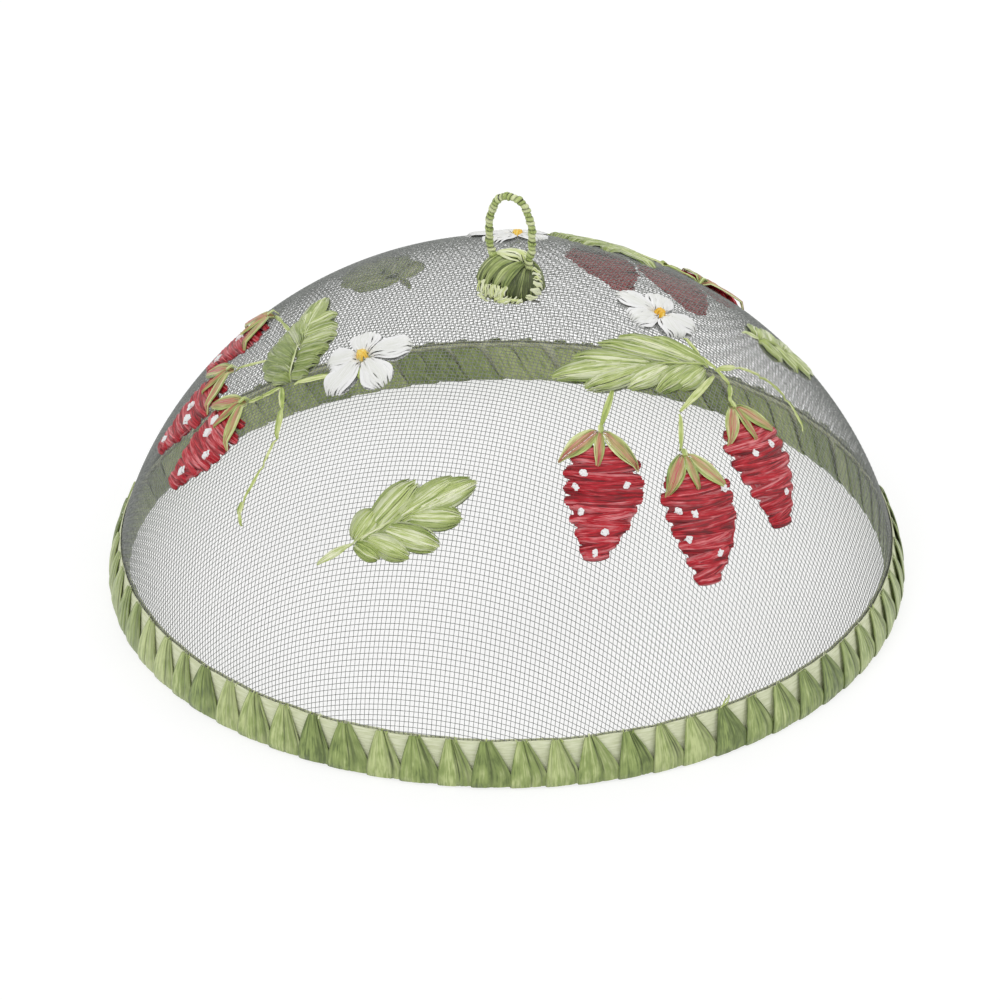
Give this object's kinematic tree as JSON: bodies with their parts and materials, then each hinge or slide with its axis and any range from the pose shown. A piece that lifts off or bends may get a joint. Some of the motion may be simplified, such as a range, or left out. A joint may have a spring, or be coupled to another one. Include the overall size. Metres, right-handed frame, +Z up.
{
  "type": "mesh food cover",
  "caption": "Domed wire-mesh food cover with a raffia-sewn rim, a raffia loop handle on a bun, and strawberry sprigs embroidered in raffia.",
  "frame": {"origin": "middle of the flat ring that the rim rests on", "axes": "+Z up along the dome's axis towards the handle; -Y is the side seen in the picture, +X to its right"},
  "size_m": [0.3546, 0.3546, 0.1904],
  "materials": {
    "wire_cloth": "fine woven wire, dark satin",
    "steel_wire": "drawn wire",
    "binding_cloth": "pale green matt strip",
    "raffia_green": "flat raffia, satin, fine lengthwise fibres",
    "raffia_red": "flat raffia, satin, fine lengthwise fibres",
    "raffia_white": "flat raffia, slightly translucent",
    "raffia_yellow": "flat raffia, satin"
  },
  "bodies": {
    "root": {"mesh_dome": "wire_cloth", "rim_wire": "steel_wire", "rim_binding": "binding_cloth", "rim_wrap": "raffia_green", "handle_bun": "raffia_green", "handle_wire": "steel_wire", "handle_wrap": "raffia_green", "handle_inner_pad": "raffia_green", "petals_left": "raffia_white", "flower_eye_left": "raffia_yellow", "leaf_left": "raffia_green", "calyx_left_1": "raffia_green", "berry_left_1": "raffia_red", "calyx_left_2": "raffia_green", "berry_left_2": "raffia_red", "calyx_left_3": "raffia_green", "berry_left_3": "raffia_red", "stems_left": "raffia_green", "petals_right": "raffia_white", "flower_eye_right": "raffia_yellow", "leaf_right": "raffia_green", "calyx_right_1": "raffia_green", "berry_right_1": "raffia_red", "calyx_right_2": "raffia_green", "berry_right_2": "raffia_red", "calyx_right_3": "raffia_green", "berry_right_3": "raffia_red", "stems_right": "raffia_green", "petals_back": "raffia_white", "flower_eye_back": "raffia_yellow", "leaf_back": "raffia_green", "calyx_back_1": "raffia_green", "berry_back_1": "raffia_red", "calyx_back_2": "raffia_green", "berry_back_2": "raffia_red", "calyx_back_3": "raffia_green", "berry_back_3": "raffia_red", "stems_back": "raffia_green", "leaf_single_front": "raffia_green", "leaf_single_side": "raffia_green", "leaf_single_rear": "raffia_green"}
  },
  "joints": []
}
